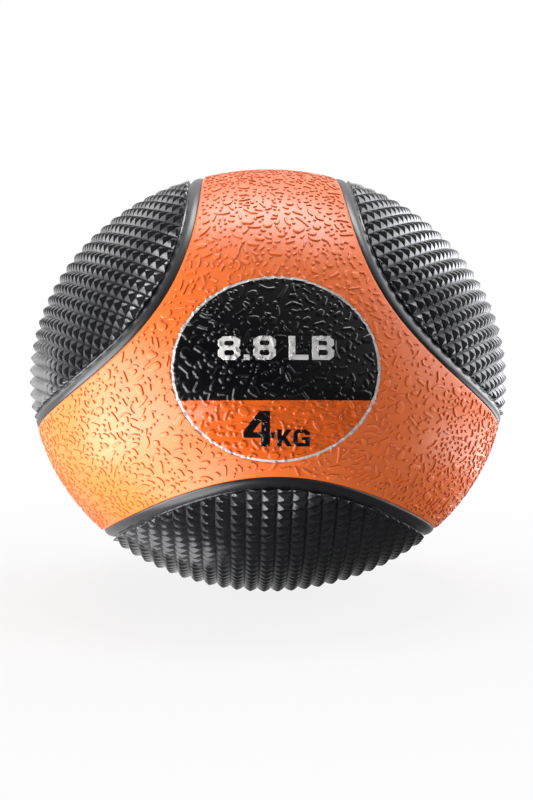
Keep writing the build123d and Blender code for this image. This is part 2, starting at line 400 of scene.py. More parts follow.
def growDrops():            # the middle lines of all drops, as directions, with their half widths
    draw = np.random.default_rng(relief["seed"])
    drops = []
    for axis in mapAxes:
        outside, padGap, valveGap = mapGround(axis)
        free = (~(outside | (padGap < relief["edgeClear"]))).sum()
        free = free * relief["mapCell"] ** 2 / (100 * mm * mm)
        for _, density, lengths, turns, halfWidths, uneven in relief["kinds"]:
            widest = halfWidths[1] * mm
            clear = relief["gap"] + widest
            blocked = outside | (padGap < relief["edgeClear"] + widest)
            blocked |= valveGap < valveLand["clear"] + widest
            for path, widths in drops:
                flat = flatFrom(axis, path)
                near = np.abs(flat).max(1) < mapReach
                for (x, y), halfWidth in zip(flat[near], widths[near]):
                    stamp(blocked, x, y, halfWidth + clear)
            wanted, placed, tries = density * free, 0, 0
            while placed < wanted and tries < wanted * relief["tries"]:
                tries += 1
                x, y, heading, turn, length, halfWidth, hand = draw.random(7)
                x, y = (x * 2 - 1) * mapReach, (y * 2 - 1) * mapReach
                if blocked[cellAt(x, y)]:
                    continue
                length = spread(lengths, length) * mm
                turn = math.radians(spread(turns, turn)) * (1 if hand > 0.5 else -1)
                line = drawLine(draw, blocked, x, y, heading * 2 * math.pi, turn, length)
                if line is None:
                    continue
                placed += 1
                along = np.linspace(0, 1, len(line))
                lean, swell, phase = draw.random(3)
                taper = (lean * 2 - 1) * (along * 2 - 1) + (swell - 0.5) * np.cos(along * 6 + phase * 6)
                widths = np.minimum(spread(halfWidths, halfWidth) * mm * (1 + uneven * taper), widest)
                for (px, py), width in zip(line, widths):
                    stamp(blocked, px, py, width + clear)
                drops.append((aroundAxis(axis, np.array(line)), widths))
    return drops


def dropMesh(path, widths):     # one drop: rounded across and at both ends
    if len(path) > 5:           # every second point is enough
        path, widths = path[::2], widths[::2]
    heading = np.gradient(path, axis=0)
    heading = unit(heading - path * (heading * path).sum(1)[:, None])
    ends = np.array(relief["ends"])
    more = len(ends)
    reach = widths / coverRadius
    lines = np.vstack([path[0] - heading[0] * reach[0] * ends[::-1, None], path,
                       path[-1] + heading[-1] * reach[-1] * ends[:, None]])
    ahead = np.vstack([np.repeat(heading[:1], more, 0), heading, np.repeat(heading[-1:], more, 0)])
    halves = np.concatenate([np.repeat(widths[0], more), widths, np.repeat(widths[-1], more)])
    past = np.concatenate([ends[::-1], np.zeros(len(path)), ends])
    inward = 1 - np.array(relief["dome"][0]) / widths.mean()
    inward = np.maximum(inward, relief["rows"])
    offsets = np.concatenate([[-1], -inward, [0], inward[::-1], [1]])
    shares = np.sqrt(np.maximum(1 - past ** 2, 0.005))
    side = np.cross(lines, ahead)
    sideways = offsets[None, :] * (shares * halves)[:, None] / coverRadius
    places = unit(lines[:, None] + side[:, None] * sideways[..., None])
    depth = halves[:, None] * (1 - np.hypot(past[:, None], offsets * shares[:, None]))
    heights = np.interp(depth, *relief["dome"])
    heights[:, [0, -1]] = relief["sunk"]
    heights[[0, -1]] = relief["sunk"]
    number = np.arange(heights.size).reshape(heights.shape)
    faces = tubeFaces(number).tolist() + number[[0, -1]].tolist()
    return places.reshape(-1, 3), heights.ravel(), faces


drops = growDrops()
print("relief grown,", len(drops), "drops")


# Orange panels: bevelled ground with the drops set in it
panelShape = {
    "cell": 1.1 * mm,
    "backSpacing": 6.0 * mm,
    "edgeSteps": [0.18 * mm, 0.6 * mm],     # rounded edge beside a band
    "edgeDrop": 0.30 * mm,
    "seamSteps": [0.25 * mm],
    "seamDrop": 0.22 * mm,
    "pocketDepth": 1.0 * mm,    # under the print
}
groundRadius = coverRadius - relief["height"]


def groundLevel(directions):    # the ground's radius, with its rounded edges and the valve's ring
    edge = smooth(1 - clearOfPads(directions) / panelShape["edgeSteps"][1]) * panelShape["edgeDrop"]
    seam = np.abs(directions @ frontAxis) * coverRadius
    edge += smooth(1 - seam / panelShape["seamSteps"][0]) * panelShape["seamDrop"]
    valveGap = anglesTo(valveRound, directions) * coverRadius
    ring = smooth(1 - np.abs(valveGap - valveLand["ringRadius"]) / valveLand["ringWidth"])
    return groundRadius - edge + ring * relief["height"]


def panelGrid(axis, cell, keepWhere):
    half = math.pi / 2 * coverRadius + 3 * cell
    span = np.arange(-half, half, cell)
    directions = aroundAxis(axis, np.stack(np.meshgrid(span, span), -1).reshape(-1, 2))
    keep = keepWhere(directions, 3 * cell / coverRadius)
    return packed(directions, gridFaces(len(span), len(span)), keep)


def withinPrint(directions):
    return anglesTo(printAxis, directions) < printReach[1]


panelHoles = {
    "front": (printAxis, printReach[1]),
    "rear": (valveRound, valveLand["holeRadius"] / coverRadius),
}


def insidePanel(panel, holed=True):     # a test for directions within a panel's edges
    holeAxis, holeReach = panelHoles[panel]

    def inside(directions, spare=0.0):
        keep = directions @ panelAxes[panel] > -spare
        keep &= clearOfPads(directions) > -spare * coverRadius
        if holed:
            keep &= anglesTo(holeAxis, directions) > holeReach - spare
        return keep
    return inside


def addDrops(bm, panel):        # the drops of one panel, clipped where the print begins
    points, heights, faces = [], [], []
    total = 0
    clip = printReach[1]
    for path, widths in drops:
        if path[0] @ panelAxes[panel] < 0:
            continue
        near = anglesTo(printAxis, path) < clip - widths * relief["intoPrint"] / coverRadius
        if near.any():
            runs = np.split(np.arange(len(path)), np.where(np.diff(near.astype(int)))[0] + 1)
            runs = [run for run in runs if not near[run[0]] and len(run) > 1]
        else:
            runs = [np.arange(len(path))]
        for run in runs:
            places, level, quads = dropMesh(path[run], widths[run])
            angle = anglesTo(printAxis, places)
            sideways = unit(places - printAxis * (places @ printAxis)[:, None])
            clipped = printAxis * math.cos(clip) + sideways * math.sin(clip)
            places = np.where((angle < clip)[:, None], clipped, places)
            points.append(places * (groundRadius + relief["height"] * level)[:, None])
            heights.append(np.clip(level, 0, 1))
            faces += [[i + total for i in face] for face in quads]
            total += len(places)
    first = len(bm.verts)
    addFaces(bm, np.vstack(points), faces)
    return first, np.concatenate(heights)


def buildPanel(panel):
    axis = panelAxes[panel]
    bm = bmeshFrom(*panelGrid(axis, panelShape["cell"], insidePanel(panel)))
    planeCut(bm, (0, 0, 0), -axis)
    for step in panelShape["seamSteps"]:
        planeCut(bm, axis * (step / coverRadius), axis, clear=False)
    for pad in padAxes:
        ovalCut(bm, pad, openingReach)
        for step in panelShape["edgeSteps"]:
            ovalCut(bm, pad, openingReach + step / coverRadius, clear=False)
    circleCut(bm, *panelHoles[panel])
    if panel == "rear":         # rows for the raised ring round the valve
        for share in (-1, -0.5, 0, 0.5, 1):
            ringEdge = valveLand["ringRadius"] + valveLand["ringWidth"] * share
            circleCut(bm, axis, ringEdge / coverRadius, clear=False)
    directions = unit(coordinates(bm))
    moveTo(bm, directions * groundLevel(directions)[:, None])
    backEdges = []
    for loop in edgeLoops(bm):
        middle = unit(np.array([e.verts[0].co for e in loop]))
        if panel == "front" and anglesTo(printAxis, middle).max() < printReach[1] + 0.01:
            floorRadius = coverRadius - panelShape["pocketDepth"]
            floorEdges = wallDown(bm, loop, floorRadius)
            fillAcross(bm, floorEdges, printAxis, floorRadius, panelShape["backSpacing"], withinPrint)
        else:
            backEdges += wallDown(bm, loop, backRadius)
    backTest = insidePanel(panel, holed=panel == "rear")    # the front's back runs on under the pocket
    fillAcross(bm, backEdges, axis, backRadius, panelShape["backSpacing"], backTest)
    bmesh.ops.recalc_face_normals(bm, faces=bm.faces[:])
    first, heights = addDrops(bm, panel)
    count = len(bm.verts)
    piece = finishPiece(bm, "orange_panel_" + panel)
    values = np.zeros(count)
    values[first:] = heights
    addAttribute(piece, "relief", values)
    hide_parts("cover_panel_" + panel)
    print("panel", panel, count, "points")
    return piece


panels = {panel: buildPanel(panel) for panel in panelAxes}


# The print: a light ring, a black field over an orange one, and the digits and letters
printShape = {
    "cell": 0.36 * mm,
    "lineDrop": 14.7 * mm,      # line between the fields, below the middle
    "backDepth": 0.95 * mm,
    "fieldDrop": 0.12 * mm,     # ring and fields under the digits and letters
    "backSpacing": 2.5 * mm,
    "dropsBeyond": 2.5 * mm,    # drops this far outside the ring still lift its ink
    "dropFoot": 0.12 * mm,      # slope of the ink beside a drop
    "inkCell": 0.34 * mm,
    "inkClear": 0.1 * mm,       # under the digits and letters, to the back of the fields
    # text, height, left, baseline and the gap between characters
    "kilograms": [("4", 16.3 * mm, -13.7 * mm, -35.9 * mm, 0.0),
                  ("KG", 7.8 * mm, 0.177 * mm, -35.9 * mm, 0.3 * mm)],
    "pounds": [("8.8", 11.0 * mm, -24.0 * mm, 3.8 * mm, 1.4 * mm),
               ("LB", 11.0 * mm, 4.9 * mm, 3.8 * mm, 1.4 * mm)],
}

# Characters one unit high, as an outline and its holes
characters = {
    "4": [[(0.45, 0), (0.45, 0.245), (0, 0.245), (0, 0.42), (0.40, 1), (0.67, 1), (0.67, 0.405),
           (0.79, 0.405), (0.79, 0.245), (0.67, 0.245), (0.67, 0)],
          [(0.45, 0.405), (0.45, 0.72), (0.235, 0.405)]],
    "8": [[(0.20, 0), (0, 0.18), (0, 0.42), (0.08, 0.51), (0, 0.60), (0, 0.84), (0.20, 1), (0.64, 1),
           (0.84, 0.84), (0.84, 0.60), (0.76, 0.51), (0.84, 0.42), (0.84, 0.18), (0.64, 0)],
          [(0.30, 0.19), (0.24, 0.25), (0.24, 0.36), (0.30, 0.42), (0.54, 0.42), (0.60, 0.36),
           (0.60, 0.25), (0.54, 0.19)],
          [(0.30, 0.60), (0.24, 0.66), (0.24, 0.75), (0.30, 0.81), (0.54, 0.81), (0.60, 0.75),
           (0.60, 0.66), (0.54, 0.60)]],
    ".": [[(0, 0), (0, 0.22), (0.22, 0.22), (0.22, 0)]],
    "K": [[(0, 0), (0, 1), (0.24, 1), (0.24, 0.62), (0.50, 1), (0.79, 1), (0.46, 0.56), (0.81, 0),
           (0.52, 0), (0.31, 0.38), (0.24, 0.28), (0.24, 0)]],
    "G": [[(0.22, 0), (0, 0.20), (0, 0.80), (0.22, 1), (0.68, 1), (0.88, 0.82), (0.88, 0.67),
           (0.63, 0.67), (0.57, 0.80), (0.30, 0.80), (0.24, 0.73), (0.24, 0.27), (0.30, 0.20),
           (0.63, 0.20), (0.63, 0.37), (0.46, 0.37), (0.46, 0.55), (0.88, 0.55), (0.88, 0)]],
    "L": [[(0, 0), (0, 1), (0.25, 1), (0.25, 0.21), (0.74, 0.21), (0.74, 0)]],
    "B": [[(0, 0), (0, 1), (0.64, 1), (0.82, 0.85), (0.82, 0.62), (0.73, 0.52), (0.84, 0.40),
           (0.84, 0.16), (0.66, 0)],
          [(0.25, 0.19), (0.25, 0.42), (0.54, 0.42), (0.60, 0.36), (0.60, 0.25), (0.54, 0.19)],
          [(0.25, 0.60), (0.25, 0.81), (0.52, 0.81), (0.58, 0.75), (0.58, 0.66), (0.52, 0.60)]],
}
printSide, printUp = sideAndUp(printAxis)

# The same drops stand out under the ink
inkPoints, inkWidths = [], []
for path, widths in drops:
    under = anglesTo(printAxis, path) < printReach[1] + printShape["dropsBeyond"] / coverRadius
    inkPoints += (path[under] * coverRadius).tolist()
    inkWidths += widths[under].tolist()
widestInk = max(inkWidths)
inkTree = kdtree.KDTree(len(inkPoints))
for index, place in enumerate(inkPoints):
    inkTree.insert(place, index)
inkTree.balance()


def inkLevel(directions):       # the print's radius over ground and drops, and how high the drops are
    depth = []
    for place in (directions * coverRadius).tolist():
        near = inkTree.find_range(place, widestInk)
        depth.append(max((inkWidths[index] - distance for _, index, distance in near), default=-1.0))
    fromSide, heights = relief["dome"]
    height = np.interp(depth, [-printShape["dropFoot"]] + fromSide, [0.0] + heights)
    return groundRadius + relief["height"] * height - printShape["fieldDrop"], height


def buildPrint(name, node, cuts, inside):
    half = printReach[1] * coverRadius + 2 * printShape["cell"]
    span = np.arange(-half, half, printShape["cell"])
    points = aroundAxis(printAxis, np.stack(np.meshgrid(span, span), -1).reshape(-1, 2))
    keep = inside(points, 2 * printShape["cell"] / coverRadius)
    bm = bmeshFrom(*packed(points, gridFaces(len(span), len(span)), keep))
    for cut, *facts in cuts:
        cut(bm, *facts)
    directions = unit(coordinates(bm))
    level, height = inkLevel(directions)
    moveTo(bm, directions * level[:, None])
    backEdges = []
    floorRadius = coverRadius - printShape["backDepth"]
    for loop in edgeLoops(bm):
        backEdges += wallDown(bm, loop, floorRadius)
    fillAcross(bm, backEdges, printAxis, floorRadius, printShape["backSpacing"], inside)
    piece = finishPiece(bm, name)
    addAttribute(piece, "relief", height)
    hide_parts(node)
    return piece


def insidePolygon(outlines, points):
    inside = np.zeros(len(points), bool)
    for outline in outlines:
        for (x1, y1), (x2, y2) in zip(outline, outline[1:] + outline[:1]):
            crosses = (y1 > points[:, 1]) != (y2 > points[:, 1])
            with np.errstate(divide="ignore", invalid="ignore"):
                where = x1 + (points[:, 1] - y1) * (x2 - x1) / (y2 - y1)
            inside ^= crosses & (points[:, 0] < where)
    return inside


def inkDirections(flat):    # flat points before the print, straight back onto the ball
    flat = flat / coverRadius
    depth = np.sqrt(1 - (flat ** 2).sum(1))
    return printSide * flat[:, :1] + printUp * flat[:, 1:] + printAxis * depth[:, None]


def buildCharacter(outlines):   # points and faces of one character, top, sides and back
    points, joins = [], []
    for outline in outlines:
        first = len(points)
        for (x1, y1), (x2, y2) in zip(outline, outline[1:] + outline[:1]):
            parts = max(1, int(math.hypot(x2 - x1, y2 - y1) / printShape["inkCell"]))
            points += [(x1 + (x2 - x1) * i / parts, y1 + (y2 - y1) * i / parts) for i in range(parts)]
        joins += [(i, i + 1) for i in range(first, len(points) - 1)] + [(len(points) - 1, first)]
    border = np.array(points)
    steps = [np.arange(border[:, i].min(), border[:, i].max(), printShape["inkCell"]) for i in (0, 1)]
    extra = np.stack(np.meshgrid(*steps), -1).reshape(-1, 2)
    extra = extra[insidePolygon(outlines, extra)]
    apart = np.sqrt(((extra[:, None] - border[None]) ** 2).sum(2)).min(1)
    extra = extra[apart > printShape["inkCell"] * 0.5]
    allPoints = [Vector(p) for p in np.vstack([border, extra])]
    flat, _, triangles, *_ = delaunay_2d_cdt(allPoints, joins, [], 0, 1e-9)
    flat, triangles = np.array([tuple(p) for p in flat]), np.array(triangles)
    triangles = triangles[insidePolygon(outlines, flat[triangles].mean(1))]
    directions = inkDirections(flat)
    level, height = inkLevel(directions)
    top = directions * (level + printShape["fieldDrop"])[:, None]
    back = directions * (coverRadius - printShape["backDepth"] + printShape["inkClear"])
    sides = {}
    for a, b in triangles[:, [0, 1, 1, 2, 2, 0]].reshape(-1, 2).tolist():
        sides[frozenset((a, b))] = None if frozenset((a, b)) in sides else (a, b)
    count = len(flat)
    walls = [(b, a, a + count, b + count) for a, b in filter(None, sides.values())]
    faces = triangles.tolist() + (triangles[:, ::-1] + count).tolist() + walls
    return np.vstack([top, back]), faces, np.append(height, np.zeros(count))


def buildLettering(name, node, lines):
    points, faces, heights = np.zeros((0, 3)), [], []
    for text, height, left, baseline, gap in lines:
        for letter in text:
            outlines = [[(left + x * height, baseline + y * height) for x, y in outline]
                        for outline in characters[letter]]
            more, moreFaces, moreHeights = buildCharacter(outlines)
            faces += [tuple(i + len(points) for i in face) for face in moreFaces]
            points = np.vstack([points, more])
            heights = np.append(heights, moreHeights)
            left += max(x for x, y in characters[letter][0]) * height + gap
    bm = bmesh.new()
    addFaces(bm, points, faces)
    piece = finishPiece(bm, name)
    addAttribute(piece, "relief", heights)
    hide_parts(node)
    return piece


def fieldTest(low, high, sign):     # within two angles of the print's axis, and on one side of the line
    def inside(directions, spare=0):
        angles = anglesTo(printAxis, directions)
        beyondLine = (directions @ printUp + printShape["lineDrop"] / coverRadius) * sign
        return (angles > low - spare) & (angles < high + spare) & (beyondLine >= -spare)
    return inside


fieldLine = printUp * (-printShape["lineDrop"] / coverRadius)
ringInner, ringOuter = printReach
diskCut = (circleCut, printAxis, ringInner, False)
ringCuts = [(circleCut, printAxis, ringOuter, False), (circleCut, printAxis, ringInner, True)]
printRing = buildPrint("print_light_ring", "print_ring", ringCuts,
                       fieldTest(ringInner, ringOuter, 0))
blackField = buildPrint("print_black_field_ink", "print_black_field",
                        [diskCut, (planeCut, fieldLine, -printUp)], fieldTest(-1, ringInner, 1))
orangeField = buildPrint("print_orange_field_ink", "print_orange_field",
                         [diskCut, (planeCut, fieldLine, printUp)], fieldTest(-1, ringInner, -1))
kilogramInk = buildLettering("print_kilogram_mark", "print_kilograms",
                             printShape["kilograms"])
poundInk = buildLettering("print_pound_mark", "print_pounds", printShape["pounds"])
print("print laid on the relief")


# Grip pads with a tread of pyramids, in rows towards the front axis and columns across
tread = {
    "acrossPitch": 3.27,        # degrees from one column to the next
    "alongPitch": 2.619,
    "acrossShift": {"left": 0.48, "right": 0.87, "bottom": 0.58},
    "alongShift": 0.2,
    "height": 2.0 * mm,
    # height by the distance from a pyramid's middle, as a share of the way to its foot
    "slope": ([0.0, 0.12, 0.60, 1.0], [1.0, 1.0, 0.57, 0.0]),
    "stops": [-1, -0.60, -0.12, 0.12, 0.60, 1],
    "spare": 3.0,               # degrees of grid beyond the border
    "margin": 0.9 * mm,
    "marginDepth": 2.15 * mm,   # bare margin, below the tips
    "backSpacing": 7.0 * mm,
}
treadReach = padReach - tread["margin"] / coverRadius


def treadCells(directions, pad):    # where each direction is, counted in pyramids
    across = np.degrees(np.arcsin(directions @ padAxes[pad][0])) / tread["acrossPitch"]
    along = np.degrees(np.arcsin(directions @ padAxes[pad][1])) / tread["alongPitch"]
    return across - tread["acrossShift"][pad], along - tread["alongShift"]


def treadLevel(cells):
    offset = np.max([np.abs(c - np.round(c)) * 2 for c in cells], axis=0)
    height = np.interp(offset, *tread["slope"])
    return treadRadius - tread["height"] * (1 - height), height


def treadGrid(pad, axes):   # corners of every pyramid's faces, and faces split along its ridges
    spans = []
    for i, pitch, shift in ((0, tread["acrossPitch"], tread["acrossShift"][pad]),
                            (1, tread["alongPitch"], tread["alongShift"])):
        reach = math.degrees(treadReach[i]) + tread["spare"]
        low, high = math.floor(-reach / pitch - shift), math.ceil(reach / pitch - shift)
        stops = [cell + stop / 2 for cell in range(low, high) for stop in tread["stops"][:-1]]
        spans.append((np.array(stops) + shift) * pitch)
    across, along = np.meshgrid(*[np.sin(np.radians(np.clip(span, -89, 89))) for span in spans])
    depth = np.sqrt(np.clip(1 - across ** 2 - along ** 2, 1e-4, 1))
    points = unit(across[..., None] * axes[0] + along[..., None] * axes[1] + depth[..., None] * axes[2])
    rows, columns = across.shape
    faces = gridFaces(rows, columns)
    cells = len(tread["stops"]) - 1
    row, column = np.divmod(np.arange(len(faces)), columns - 1)
    rising = (row % cells) == (column % cells)
    falling = (row % cells) == (cells - 1 - column % cells)
    points = points.reshape(-1, 3)
    keep = ovalShare(pad, treadReach, points) < 1.06        # a little past the border, cut later
    keep &= (across ** 2 + along ** 2 < 0.995).ravel()      # where the grid hasn't run off the ball
    split = np.where(rising[:, None], faces, np.roll(faces, 1, axis=1))
    halves = split[rising | falling]
    triangles = np.vstack([halves[:, [0, 1, 2]], halves[:, [0, 2, 3]]])
    quads = faces[~(rising | falling)]
    kept = [f[keep[f].all(1)] for f in (quads, triangles)]
    used = np.unique(np.concatenate([f.ravel() for f in kept]))
    number = np.full(len(points), -1)
    number[used] = np.arange(len(used))
    return points[used], number[kept[0]].tolist() + number[kept[1]].tolist()


def markRidges(bm, pad, foot):      # sharp where two sides of a pyramid meet, and round the border
    bm.faces.index_update()
    middles = unit(np.array([f.calc_center_median() for f in bm.faces]))
    across, along = treadCells(middles, pad)
    column, row = np.round(across), np.round(along)
    across, along = across - column, along - row
    leftOrRight = np.abs(across) > np.abs(along)
    side = np.where(leftOrRight, np.where(across > 0, 0, 1), np.where(along > 0, 2, 3))
    onTip = np.maximum(np.abs(across), np.abs(along)) < tread["slope"][0][1] / 2 + 0.005
    number = (np.where(onTip, 4, side) + column * 5 + row * 500).astype(int)    # one for each flat side
    for edge in bm.edges:
        faces = edge.link_faces
        if len(faces) == 2 and number[faces[0].index] != number[faces[1].index]:
            edge.smooth = False
    for edge in foot:
        edge.smooth = False


def buildPad(pad):
    axes = padAxes[pad]
    points, faces = treadGrid(pad, axes)
    bm = bmesh.new()
    addFaces(bm, points, faces)
    ovalCut(bm, pad, treadReach, keepOutside=False)
    directions = unit(coordinates(bm))
    cells = treadCells(directions, pad)
    level, height = treadLevel(cells)
    moveTo(bm, directions * level[:, None])
    foot = wallDown(bm, edgeLoops(bm)[0], treadRadius - tread["marginDepth"])
    rimEdges = bmesh.ops.extrude_edge_only(bm, edges=foot)["geom"]
    rim = [g for g in rimEdges if isinstance(g, bmesh.types.BMEdge)]
    rimVerts = cornersOf(rim)
    places = unit(np.array([v.co for v in rimVerts])) @ axes.T
    around = unit(places[:, :2] / np.tan(treadReach))
    for vertex, direction in zip(rimVerts, ovalEdge(pad, padReach, around)):
        vertex.co = direction * (treadRadius - tread["marginDepth"])
    back = wallDown(bm, rim, backRadius)
    fillAcross(bm, back, axes[2], backRadius, tread["backSpacing"],
               lambda d: ovalShare(pad, padReach, d) < 1)
    markRidges(bm, pad, foot)
    piece = finishPiece(bm, "grip_pad_tread_" + pad)
    addAttribute(piece, "relief", height)
    addAttribute(piece, "cellAcross", cells[0])
    addAttribute(piece, "cellAlong", cells[1])
    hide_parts("grip_pad_" + pad)
    print("pad", pad, len(piece.data.vertices), "points")
    return piece


pads = {pad: buildPad(pad) for pad in padAxes}


# Smooth bands round the pads
band = {
    "sides": 520,
    # share of the width from the tread's side, and height over the cover's back, as a share of its depth
    "profile": [(0.0, 0.0), (0.0, 0.74), (0.015, 0.79), (0.07, 0.835), (0.13, 0.845), (0.19, 0.885),
                (0.30, 0.94), (0.44, 0.975), (0.60, 0.985), (0.76, 0.965), (0.88, 0.925), (0.96, 0.87),
                (1.0, 0.80), (1.0, 0.0)],
}


def buildBand(pad):
    depth = coverRadius - backRadius
    turn = np.linspace(0, 2 * math.pi, band["sides"], endpoint=False)
    around = np.stack([np.cos(turn), np.sin(turn)], -1)
    wide = openingReach - padReach
    rows = [ovalEdge(pad, padReach + wide * share, around) * (backRadius + depth * height)
            for share, height in band["profile"]]
    number = np.arange(len(rows) * band["sides"]).reshape(len(rows), -1)
    faces = tubeFaces(np.vstack([number, number[:1]]))
    bm = bmeshFrom(np.array(rows).reshape(-1, 3), faces)
    piece = finishPiece(bm, "edge_band_strip_" + pad)
    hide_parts("edge_band_" + pad)
    return piece


bands = {pad: buildBand(pad) for pad in padAxes}
print("pads and bands made")


# Valve in the middle of the rear panel: boot and self-sealing core, turned about the valve's axis
valve = {
    "sides": 72,
    # radius and depth under the cover, in millimetres, from the axis back to the axis
    "boot": [(0, 25.06), (3.06, 25.06), (3.06, 3.06), (3.86, 3.06), (3.86, 1.05), (3.95, 0.80),
             (4.15, 0.65), (4.40, 0.60), (4.65, 0.66), (4.84, 0.82), (4.92, 1.05), (4.92, 24.4),
             (5.4, 24.46), (10.0, 24.85), (14.4, 25.44), (15.0, 25.9), (15.0, 27.6), (14.4, 27.98),
             (10.0, 27.36), (0, 26.8)],
    "core": [(0, 17.0), (1.2, 17.0), (1.2, 1.55), (1.32, 1.32), (1.60, 1.18), (2.05, 1.08), (2.6, 1.02),
             (3.3, 1.0), (3.62, 1.06), (3.76, 1.2), (3.8, 1.4), (3.8, 3.0), (3.0, 3.0), (3.0, 24.7),
             (2.7, 25.0), (0, 25.0)],
}


def buildTurned(name, node, profile):
    side = np.array([1.0, 0.0, 0.0])
    up = np.cross(valveNormal, side)
    turn = np.linspace(0, 2 * math.pi, valve["sides"], endpoint=False)
    out = side * np.cos(turn)[:, None] + up * np.sin(turn)[:, None]
    bm = bmesh.new()
    rows = []
    for radius, depth in profile:
        middle = valvePoint - valveNormal * depth * mm
        ring = middle + out * radius * mm if radius else middle[None]
        rows.append([bm.verts.new((p - ballCentre) / [1, 1, flattening]) for p in ring])
    for low, high in zip(rows, rows[1:]):
        for i in range(valve["sides"]):
            after = (i + 1) % valve["sides"]
            corners = [low[i % len(low)], low[after % len(low)]]
            corners += [high[after % len(high)], high[i % len(high)]]
            bm.faces.new(list(dict.fromkeys(corners)))      # three at the axis
    piece = finishPiece(bm, name)
    for edge in piece.data.edges:
        edge.use_edge_sharp = False
    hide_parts(node)
    return piece


valvePieces = [buildTurned("valve_boot_lip", "valve_boot", valve["boot"]),
               buildTurned("valve_core_plug", "valve_core", valve["core"])]
print("valve made")


# Materials
def newMaterial(name, base, roughness, specular=0.5):
    material = bpy.data.materials.new(name)
    material.use_nodes = True
    shader = material.node_tree.nodes["Principled BSDF"]
    shader.inputs["Base Color"].default_value = (*base, 1)
    shader.inputs["Roughness"].default_value = roughness
    shader.inputs["Specular IOR Level"].default_value = specular
    material.diffuse_color = (*base, 1)
    return material, material.node_tree, shader


def addNode(tree, kind, **settings):    # a node with its own settings, and sockets by name
    node = tree.nodes.new(kind)
    for key, value in settings.items():
        if key in node.inputs:
            node.inputs[key].default_value = value
        else:
            setattr(node, key, value)
    return node


def noiseAt(tree, scale, detail=3.0):
    place = addNode(tree, "ShaderNodeTexCoord")
    noise = addNode(tree, "ShaderNodeTexNoise", Scale=scale, Detail=detail, Roughness=0.55)
    tree.links.new(place.outputs["Object"], noise.inputs["Vector"])
    return noise.outputs["Fac"]


def mixColours(tree, factor, first, second):
    mix = addNode(tree, "ShaderNodeMix", data_type="RGBA")
    for socket, value in ((mix.inputs[0], factor), (mix.inputs[6], first), (mix.inputs[7], second)):
        if isinstance(value, bpy.types.NodeSocket):
            tree.links.new(value, socket)
        elif isinstance(value, tuple):
            socket.default_value = (*value, 1)
        else:
            socket.default_value = value
    return mix.outputs[2]


def rangeOf(tree, value, low, high, start=0.0, end=1.0):    # a value from start to end, as low to high
    node = addNode(tree, "ShaderNodeMapRange")
    node.inputs["From Min"].default_value = start
    node.inputs["From Max"].default_value = end
    node.inputs["To Min"].default_value = low
    node.inputs["To Max"].default_value = high
    tree.links.new(value, node.inputs["Value"])
    return node.outputs["Result"]


def addMath(tree, operation, first, second):
    node = addNode(tree, "ShaderNodeMath", operation=operation)
    for socket, value in zip(node.inputs, (first, second)):
        if isinstance(value, bpy.types.NodeSocket):
            tree.links.new(value, socket)
        else:
            socket.default_value = value
    return node.outputs[0]


def addBump(tree, shader, height, strength, distance):
    bump = addNode(tree, "ShaderNodeBump", Strength=strength, Distance=distance)
    tree.links.new(height, bump.inputs["Height"])
    tree.links.new(bump.outputs["Normal"], shader.inputs["Normal"])


def storedValue(tree, name):
    return addNode(tree, "ShaderNodeAttribute", attribute_name=name).outputs["Fac"]


finishes = {
    "orange_cover_rubber": {
        "deep": (0.72, 0.118, 0.011), "main": (0.88, 0.158, 0.016), "worn": (0.92, 0.20, 0.030),
        "roughness": (0.33, 0.42), "specular": 0.6, "grain": 1500.0, "grainDepth": 0.03 * mm},
    "black_grip_rubber": {
        "deep": (0.005, 0.005, 0.007), "main": (0.008, 0.008, 0.011), "worn": (0.018, 0.019, 0.024),
        "roughness": (0.17, 0.27), "specular": 0.75, "grain": 1300.0, "grainDepth": 0.02 * mm},
    "black_band_rubber": {
        "deep": (0.007, 0.007, 0.009), "main": (0.010, 0.010, 0.013), "worn": (0.016, 0.016, 0.020),
        "roughness": (0.30, 0.40), "specular": 0.6, "grain": 1100.0, "grainDepth": 0.02 * mm},
    "glossy_black_ink": {
        "deep": (0.002, 0.002, 0.003), "main": (0.003, 0.003, 0.004), "worn": (0.006, 0.006, 0.007),
        "roughness": (0.09, 0.15), "specular": 0.35, "grain": 1500.0, "grainDepth": 0.01 * mm},
    "glossy_orange_ink": {
        "deep": (0.62, 0.085, 0.006), "main": (0.76, 0.115, 0.009), "worn": (0.84, 0.165, 0.020),
        "roughness": (0.14, 0.22), "specular": 0.4, "grain": 1500.0, "grainDepth": 0.01 * mm},
    "light_print_ink": {
        "deep": (0.56, 0.55, 0.54), "main": (0.68, 0.67, 0.66), "worn": (0.60, 0.58, 0.57),
        "roughness": (0.32, 0.45), "specular": 0.4, "grain": 1500.0, "grainDepth": 0.01 * mm},
    "black_valve_rubber": {
        "deep": (0.012, 0.012, 0.013), "main": (0.022, 0.022, 0.024), "worn": (0.040, 0.040, 0.042),
        "roughness": (0.50, 0.62), "specular": 0.4, "grain": 1300.0, "grainDepth": 0.02 * mm},
}
wear = {
    # noise scale and detail, and the most of the other colour that comes through
    "deepPatches": (38.0, 4.0, 0.6),
    "wornSpecks": (900.0, 2.0, 0.30),
    "wornTops": (210.0, 3.0, 0.5),
    "sheenScale": 160.0,
    "paintedSideShade": 0.55,          # painted shade on the sides of the drops and pyramids, at its strongest
    "paintedSideShadeColour": 0.45,         # the painted shade's colour, as a share of the deep one
    "grainStrength": 0.3,
    # colour on the pyramids' ridges: partly wear, partly painted highlight
    "ridgeWearAndHighlightColour": (0.06, 0.062, 0.07),
}


def patches(tree, scale, detail, most):
    return rangeOf(tree, noiseAt(tree, scale, detail), 0.0, most)


